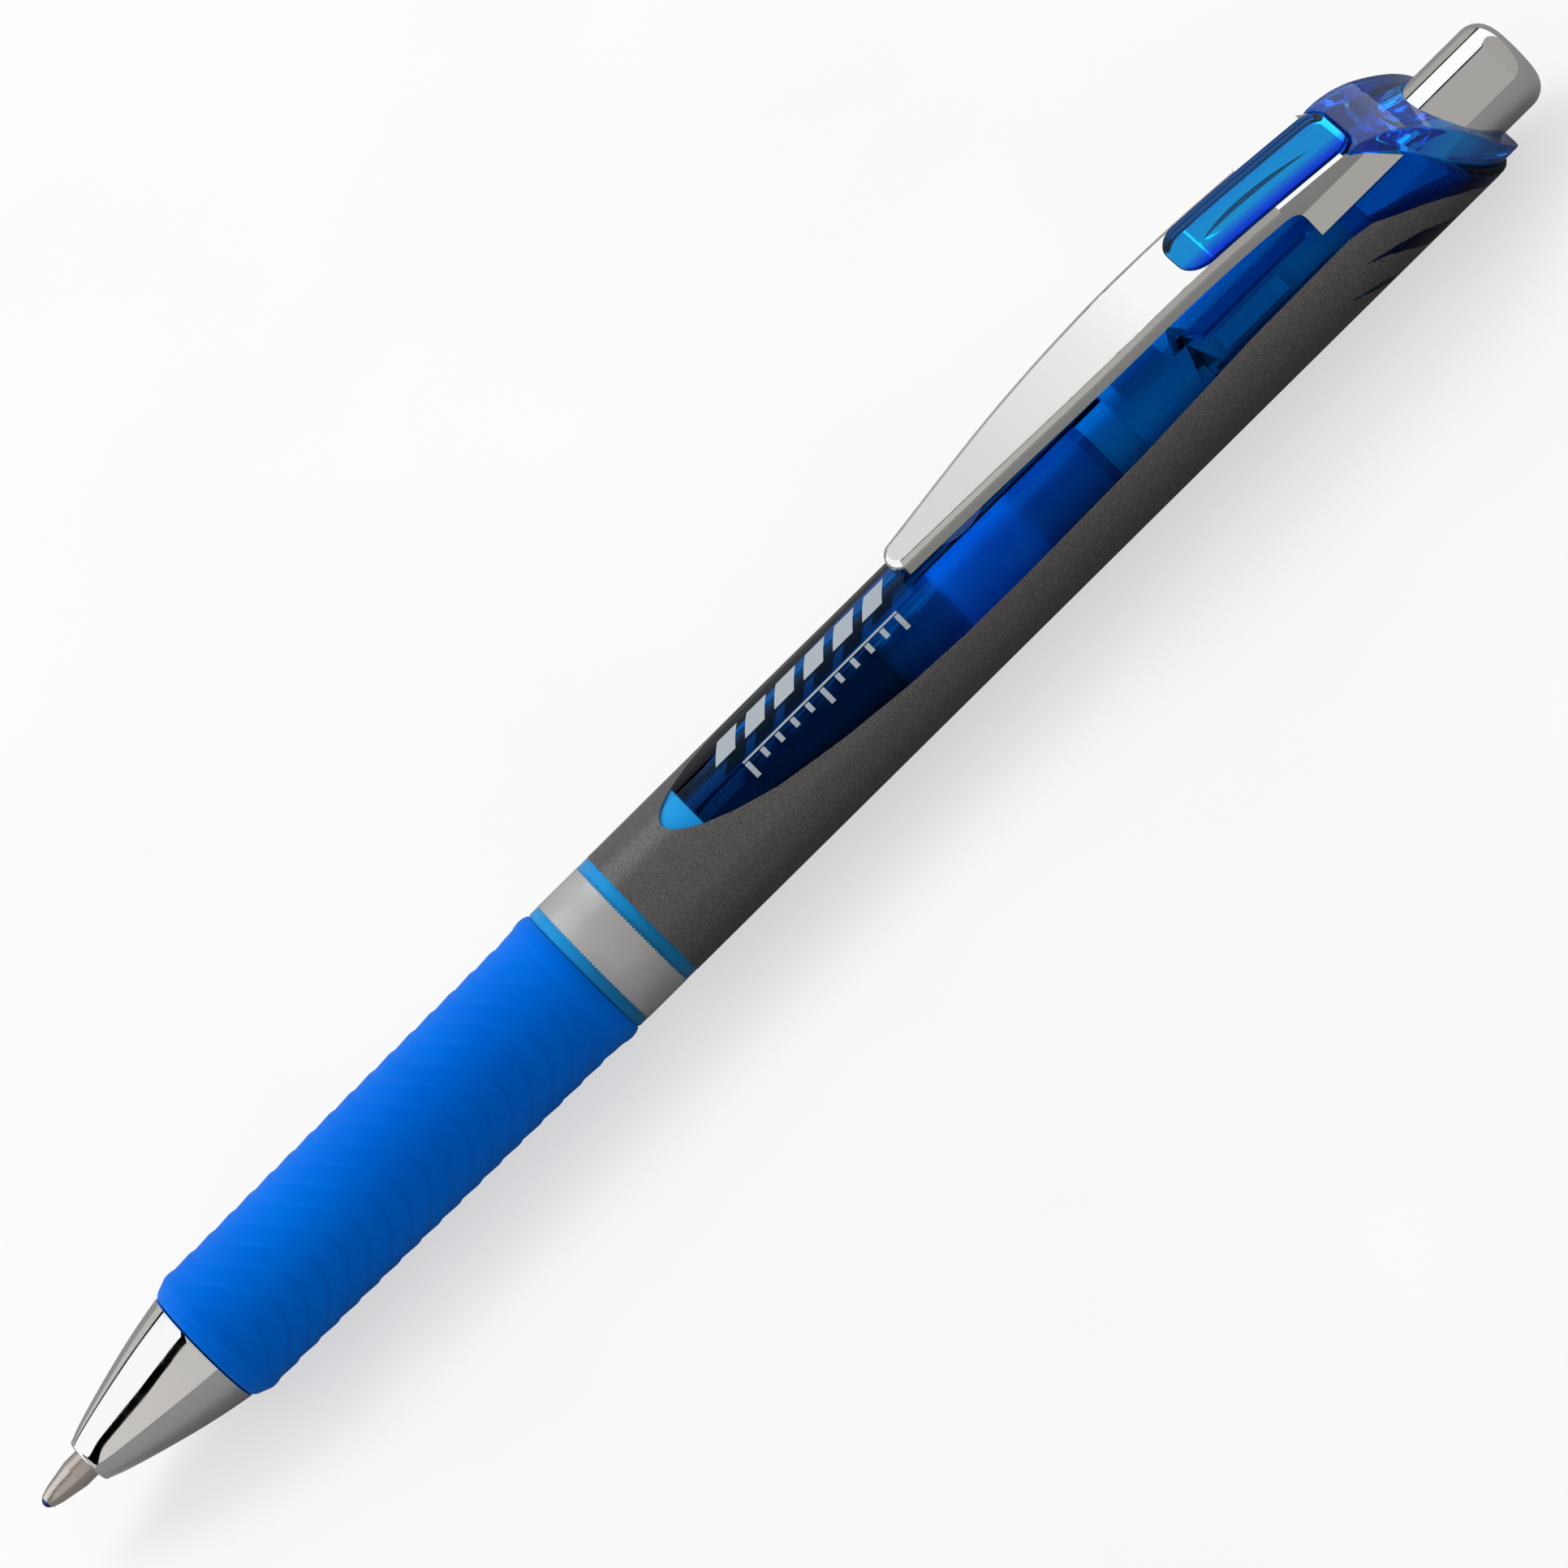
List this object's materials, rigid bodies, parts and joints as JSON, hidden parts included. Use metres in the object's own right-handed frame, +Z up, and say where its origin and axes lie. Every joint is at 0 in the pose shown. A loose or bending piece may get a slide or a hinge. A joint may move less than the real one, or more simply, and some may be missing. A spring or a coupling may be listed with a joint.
{
  "type": "retractable gel pen",
  "caption": "Slim click pen with a soft ridged grip, metal nose cone, clear coated barrel, sprung sheet-metal clip and push button.",
  "frame": {"origin": "on the surface the pen lies on, under the middle of its length", "axes": "+X along the pen from the writing tip to the knock button, +Z up through the clip, +Y across the pen"},
  "size_m": [0.144, 0.0114, 0.0147],
  "materials": {
    "clear_blue_plastic": "clear blue, partly coated in metallic grey paint",
    "blue_rubber": "translucent blue rubber with fine ridges",
    "chrome_plate": "polished chrome plate",
    "cap_blue_plastic": "clear blue",
    "insert_blue_plastic": "clear light blue",
    "natural_plastic": "milky natural plastic",
    "refill_tube_plastic": "clear",
    "dark_plastic": "dark blue",
    "blue_ink": "wet gel ink",
    "follower_grease": "clear grease",
    "point_metal": "turned nickel silver",
    "ball_metal": "polished hard metal wet with blue ink",
    "spring_steel": "drawn wire"
  },
  "bodies": {
    "barrel": {"barrel": "clear_blue_plastic", "grip_sleeve": "blue_rubber", "end_cap": "cap_blue_plastic", "return_spring": "spring_steel"},
    "nose_cone": {"nose_cone": "chrome_plate"},
    "clip": {"clip": "chrome_plate", "clip_insert": "insert_blue_plastic"},
    "knock": {"knock_button": "chrome_plate", "knock_plunger": "natural_plastic"},
    "refill": {"refill_tube": "refill_tube_plastic", "refill_plug": "dark_plastic", "ink_column": "blue_ink", "ink_follower": "follower_grease", "tip_holder": "natural_plastic", "tip_nozzle": "point_metal"},
    "rotor": {"cam_rotor": "natural_plastic"},
    "tip_ball": {"tip_ball": "ball_metal"}
  },
  "joints": [
    {"name": "knock_slide", "type": "slide", "parent": "barrel", "child": "knock", "axis": [1, 0, 0], "range_m": [-0.0012, 0.0055]},
    {"name": "refill_slide", "type": "slide", "parent": "barrel", "child": "refill", "axis": [1, 0, 0], "range_m": [-0.0012, 0.0055], "deforming": ["return_spring"]},
    {"name": "rotor_turn", "type": "hinge", "parent": "refill", "child": "rotor", "pos_m": [0.036, 0, 0.00567], "axis": [1, 0, 0], "range_deg": [0, 45]},
    {"name": "clip_flex", "type": "hinge", "parent": "barrel", "child": "clip", "pos_m": [0.0595, 0, 0.01167], "axis": [0, 1, 0], "range_deg": [0, 3.5], "stiffness_Nm_per_rad": 3, "springref_deg": -1.15},
    {"name": "nose_cone_slide", "type": "slide", "parent": "barrel", "child": "nose_cone", "axis": [-1, 0, 0], "range_m": [0, 0.0045]},
    {"name": "tip_ball_roll", "type": "hinge", "parent": "refill", "child": "tip_ball", "pos_m": [-0.0715, 0, 0.00567], "axis": [0, 1, 0], "continuous": true}
  ],
  "couplings": [
    {"joint": "refill_slide", "follows": "knock_slide", "ratio": 1}
  ]
}
